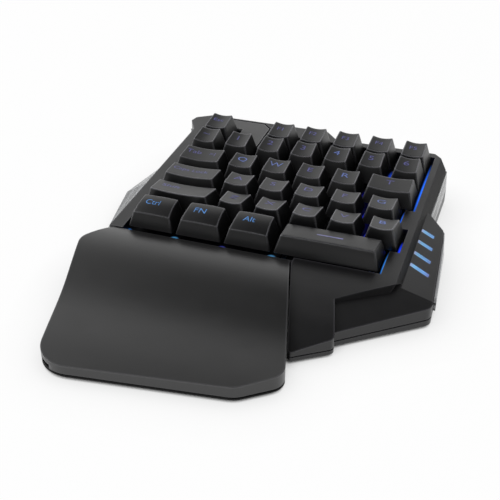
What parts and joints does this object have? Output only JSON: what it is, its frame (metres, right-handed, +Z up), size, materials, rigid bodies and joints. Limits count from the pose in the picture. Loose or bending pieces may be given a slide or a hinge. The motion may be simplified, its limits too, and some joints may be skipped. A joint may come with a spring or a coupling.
{
  "type": "one-handed gaming keypad",
  "caption": "Low one-handed keypad with sculpted keys in a tilted case, a lit side wing and a clip-on palm rest at the front left.",
  "frame": {"origin": "middle of the overall width and depth, on the desk plane under the rubber feet", "axes": "+X to the right along the key rows, +Y away from the user to the back edge, +Z up"},
  "size_m": [0.1818, 0.2257, 0.0347],
  "materials": {
    "case_plastic": "fine matte texture, black",
    "palm_coating": "soft-touch satin, black",
    "badge_plastic": "matte, dark grey",
    "keycap_plastic": "fine satin texture, black",
    "clear_plastic": "clear, faintly smoky",
    "lens_plastic": "translucent, lit light blue",
    "guide_plastic": "moulded, off-white",
    "dome_rubber": "translucent silicone",
    "film": "translucent film",
    "steel": "plated",
    "board": "green solder mask",
    "chip": "black",
    "foot_rubber": "black"
  },
  "bodies": {
    "base": {"top_case": "case_plastic", "bottom_case": "case_plastic", "palm_rest_cover": "palm_coating", "palm_rest_base": "case_plastic", "badge_plate": "badge_plastic", "right_light_guide": "clear_plastic", "left_light_guide": "clear_plastic", "wing_lenses": "lens_plastic", "key_guide_plate": "guide_plastic", "rubber_dome_sheet": "dome_rubber", "membrane_sheet": "film", "backlight_sheet": "film", "steel_base_plate": "steel", "plate_screws": "steel", "controller_board": "board", "controller_chip": "chip", "membrane_clamp": "guide_plastic", "wing_light_board": "board", "case_screws": "steel", "palm_screws": "steel", "rubber_feet": "foot_rubber"},
    "key_ctrl": {"key_ctrl": "keycap_plastic"},
    "key_fn": {"key_fn": "keycap_plastic"},
    "key_alt": {"key_alt": "keycap_plastic"},
    "key_space": {"key_space": "keycap_plastic"},
    "key_shift": {"key_shift": "keycap_plastic"},
    "key_z": {"key_z": "keycap_plastic"},
    "key_x": {"key_x": "keycap_plastic"},
    "key_c": {"key_c": "keycap_plastic"},
    "key_v": {"key_v": "keycap_plastic"},
    "key_b": {"key_b": "keycap_plastic"},
    "key_caps": {"key_caps": "keycap_plastic"},
    "key_a": {"key_a": "keycap_plastic"},
    "key_s": {"key_s": "keycap_plastic"},
    "key_d": {"key_d": "keycap_plastic"},
    "key_f": {"key_f": "keycap_plastic"},
    "key_g": {"key_g": "keycap_plastic"},
    "key_tab": {"key_tab": "keycap_plastic"},
    "key_q": {"key_q": "keycap_plastic"},
    "key_w": {"key_w": "keycap_plastic"},
    "key_e": {"key_e": "keycap_plastic"},
    "key_r": {"key_r": "keycap_plastic"},
    "key_t": {"key_t": "keycap_plastic"},
    "key_grave": {"key_grave": "keycap_plastic"},
    "key_1": {"key_1": "keycap_plastic"},
    "key_2": {"key_2": "keycap_plastic"},
    "key_3": {"key_3": "keycap_plastic"},
    "key_4": {"key_4": "keycap_plastic"},
    "key_5": {"key_5": "keycap_plastic"},
    "key_6": {"key_6": "keycap_plastic"},
    "key_esc": {"key_esc": "keycap_plastic"},
    "key_f1": {"key_f1": "keycap_plastic"},
    "key_f2": {"key_f2": "keycap_plastic"},
    "key_f3": {"key_f3": "keycap_plastic"},
    "key_f4": {"key_f4": "keycap_plastic"},
    "key_f5": {"key_f5": "keycap_plastic"},
    "stabiliser": {"space_stabiliser": "steel"}
  },
  "joints": [
    {"name": "press_ctrl", "type": "slide", "parent": "base", "child": "key_ctrl", "axis": [0, 0.0698, -0.9976], "range_m": [0, 0.0035], "stiffness_N_per_m": 170, "springref_m": -0.0025, "deforming": ["rubber_dome_sheet"]},
    {"name": "press_fn", "type": "slide", "parent": "base", "child": "key_fn", "axis": [0, 0.0698, -0.9976], "range_m": [0, 0.0035], "stiffness_N_per_m": 170, "springref_m": -0.0025, "deforming": ["rubber_dome_sheet"]},
    {"name": "press_alt", "type": "slide", "parent": "base", "child": "key_alt", "axis": [0, 0.0698, -0.9976], "range_m": [0, 0.0035], "stiffness_N_per_m": 170, "springref_m": -0.0025, "deforming": ["rubber_dome_sheet"]},
    {"name": "press_space", "type": "slide", "parent": "base", "child": "key_space", "axis": [0, 0.0698, -0.9976], "range_m": [0, 0.0035], "stiffness_N_per_m": 170, "springref_m": -0.0025, "deforming": ["rubber_dome_sheet"]},
    {"name": "press_shift", "type": "slide", "parent": "base", "child": "key_shift", "axis": [0, 0.0698, -0.9976], "range_m": [0, 0.0035], "stiffness_N_per_m": 170, "springref_m": -0.0025, "deforming": ["rubber_dome_sheet"]},
    {"name": "press_z", "type": "slide", "parent": "base", "child": "key_z", "axis": [0, 0.0698, -0.9976], "range_m": [0, 0.0035], "stiffness_N_per_m": 170, "springref_m": -0.0025, "deforming": ["rubber_dome_sheet"]},
    {"name": "press_x", "type": "slide", "parent": "base", "child": "key_x", "axis": [0, 0.0698, -0.9976], "range_m": [0, 0.0035], "stiffness_N_per_m": 170, "springref_m": -0.0025, "deforming": ["rubber_dome_sheet"]},
    {"name": "press_c", "type": "slide", "parent": "base", "child": "key_c", "axis": [0, 0.0698, -0.9976], "range_m": [0, 0.0035], "stiffness_N_per_m": 170, "springref_m": -0.0025, "deforming": ["rubber_dome_sheet"]},
    {"name": "press_v", "type": "slide", "parent": "base", "child": "key_v", "axis": [0, 0.0698, -0.9976], "range_m": [0, 0.0035], "stiffness_N_per_m": 170, "springref_m": -0.0025, "deforming": ["rubber_dome_sheet"]},
    {"name": "press_b", "type": "slide", "parent": "base", "child": "key_b", "axis": [0, 0.0698, -0.9976], "range_m": [0, 0.0035], "stiffness_N_per_m": 170, "springref_m": -0.0025, "deforming": ["rubber_dome_sheet"]},
    {"name": "press_caps", "type": "slide", "parent": "base", "child": "key_caps", "axis": [0, 0.0698, -0.9976], "range_m": [0, 0.0035], "stiffness_N_per_m": 170, "springref_m": -0.0025, "deforming": ["rubber_dome_sheet"]},
    {"name": "press_a", "type": "slide", "parent": "base", "child": "key_a", "axis": [0, 0.0698, -0.9976], "range_m": [0, 0.0035], "stiffness_N_per_m": 170, "springref_m": -0.0025, "deforming": ["rubber_dome_sheet"]},
    {"name": "press_s", "type": "slide", "parent": "base", "child": "key_s", "axis": [0, 0.0698, -0.9976], "range_m": [0, 0.0035], "stiffness_N_per_m": 170, "springref_m": -0.0025, "deforming": ["rubber_dome_sheet"]},
    {"name": "press_d", "type": "slide", "parent": "base", "child": "key_d", "axis": [0, 0.0698, -0.9976], "range_m": [0, 0.0035], "stiffness_N_per_m": 170, "springref_m": -0.0025, "deforming": ["rubber_dome_sheet"]},
    {"name": "press_f", "type": "slide", "parent": "base", "child": "key_f", "axis": [0, 0.0698, -0.9976], "range_m": [0, 0.0035], "stiffness_N_per_m": 170, "springref_m": -0.0025, "deforming": ["rubber_dome_sheet"]},
    {"name": "press_g", "type": "slide", "parent": "base", "child": "key_g", "axis": [0, 0.0698, -0.9976], "range_m": [0, 0.0035], "stiffness_N_per_m": 170, "springref_m": -0.0025, "deforming": ["rubber_dome_sheet"]},
    {"name": "press_tab", "type": "slide", "parent": "base", "child": "key_tab", "axis": [0, 0.0698, -0.9976], "range_m": [0, 0.0035], "stiffness_N_per_m": 170, "springref_m": -0.0025, "deforming": ["rubber_dome_sheet"]},
    {"name": "press_q", "type": "slide", "parent": "base", "child": "key_q", "axis": [0, 0.0698, -0.9976], "range_m": [0, 0.0035], "stiffness_N_per_m": 170, "springref_m": -0.0025, "deforming": ["rubber_dome_sheet"]},
    {"name": "press_w", "type": "slide", "parent": "base", "child": "key_w", "axis": [0, 0.0698, -0.9976], "range_m": [0, 0.0035], "stiffness_N_per_m": 170, "springref_m": -0.0025, "deforming": ["rubber_dome_sheet"]},
    {"name": "press_e", "type": "slide", "parent": "base", "child": "key_e", "axis": [0, 0.0698, -0.9976], "range_m": [0, 0.0035], "stiffness_N_per_m": 170, "springref_m": -0.0025, "deforming": ["rubber_dome_sheet"]},
    {"name": "press_r", "type": "slide", "parent": "base", "child": "key_r", "axis": [0, 0.0698, -0.9976], "range_m": [0, 0.0035], "stiffness_N_per_m": 170, "springref_m": -0.0025, "deforming": ["rubber_dome_sheet"]},
    {"name": "press_t", "type": "slide", "parent": "base", "child": "key_t", "axis": [0, 0.0698, -0.9976], "range_m": [0, 0.0035], "stiffness_N_per_m": 170, "springref_m": -0.0025, "deforming": ["rubber_dome_sheet"]},
    {"name": "press_grave", "type": "slide", "parent": "base", "child": "key_grave", "axis": [0, 0.0698, -0.9976], "range_m": [0, 0.0035], "stiffness_N_per_m": 170, "springref_m": -0.0025, "deforming": ["rubber_dome_sheet"]},
    {"name": "press_1", "type": "slide", "parent": "base", "child": "key_1", "axis": [0, 0.0698, -0.9976], "range_m": [0, 0.0035], "stiffness_N_per_m": 170, "springref_m": -0.0025, "deforming": ["rubber_dome_sheet"]},
    {"name": "press_2", "type": "slide", "parent": "base", "child": "key_2", "axis": [0, 0.0698, -0.9976], "range_m": [0, 0.0035], "stiffness_N_per_m": 170, "springref_m": -0.0025, "deforming": ["rubber_dome_sheet"]},
    {"name": "press_3", "type": "slide", "parent": "base", "child": "key_3", "axis": [0, 0.0698, -0.9976], "range_m": [0, 0.0035], "stiffness_N_per_m": 170, "springref_m": -0.0025, "deforming": ["rubber_dome_sheet"]},
    {"name": "press_4", "type": "slide", "parent": "base", "child": "key_4", "axis": [0, 0.0698, -0.9976], "range_m": [0, 0.0035], "stiffness_N_per_m": 170, "springref_m": -0.0025, "deforming": ["rubber_dome_sheet"]},
    {"name": "press_5", "type": "slide", "parent": "base", "child": "key_5", "axis": [0, 0.0698, -0.9976], "range_m": [0, 0.0035], "stiffness_N_per_m": 170, "springref_m": -0.0025, "deforming": ["rubber_dome_sheet"]},
    {"name": "press_6", "type": "slide", "parent": "base", "child": "key_6", "axis": [0, 0.0698, -0.9976], "range_m": [0, 0.0035], "stiffness_N_per_m": 170, "springref_m": -0.0025, "deforming": ["rubber_dome_sheet"]},
    {"name": "press_esc", "type": "slide", "parent": "base", "child": "key_esc", "axis": [0, 0.0698, -0.9976], "range_m": [0, 0.0035], "stiffness_N_per_m": 170, "springref_m": -0.0025, "deforming": ["rubber_dome_sheet"]},
    {"name": "press_f1", "type": "slide", "parent": "base", "child": "key_f1", "axis": [0, 0.0698, -0.9976], "range_m": [0, 0.0035], "stiffness_N_per_m": 170, "springref_m": -0.0025, "deforming": ["rubber_dome_sheet"]},
    {"name": "press_f2", "type": "slide", "parent": "base", "child": "key_f2", "axis": [0, 0.0698, -0.9976], "range_m": [0, 0.0035], "stiffness_N_per_m": 170, "springref_m": -0.0025, "deforming": ["rubber_dome_sheet"]},
    {"name": "press_f3", "type": "slide", "parent": "base", "child": "key_f3", "axis": [0, 0.0698, -0.9976], "range_m": [0, 0.0035], "stiffness_N_per_m": 170, "springref_m": -0.0025, "deforming": ["rubber_dome_sheet"]},
    {"name": "press_f4", "type": "slide", "parent": "base", "child": "key_f4", "axis": [0, 0.0698, -0.9976], "range_m": [0, 0.0035], "stiffness_N_per_m": 170, "springref_m": -0.0025, "deforming": ["rubber_dome_sheet"]},
    {"name": "press_f5", "type": "slide", "parent": "base", "child": "key_f5", "axis": [0, 0.0698, -0.9976], "range_m": [0, 0.0035], "stiffness_N_per_m": 170, "springref_m": -0.0025, "deforming": ["rubber_dome_sheet"]},
    {"name": "stabiliser_turn", "type": "hinge", "parent": "base", "child": "stabiliser", "pos_m": [0.03752, 0.00127, 0.0158], "axis": [1, 0, 0], "range_deg": [0, 28]}
  ],
  "couplings": [
    {"joint": "stabiliser_turn", "follows": "press_space", "rad_per_m": 111.82}
  ]
}
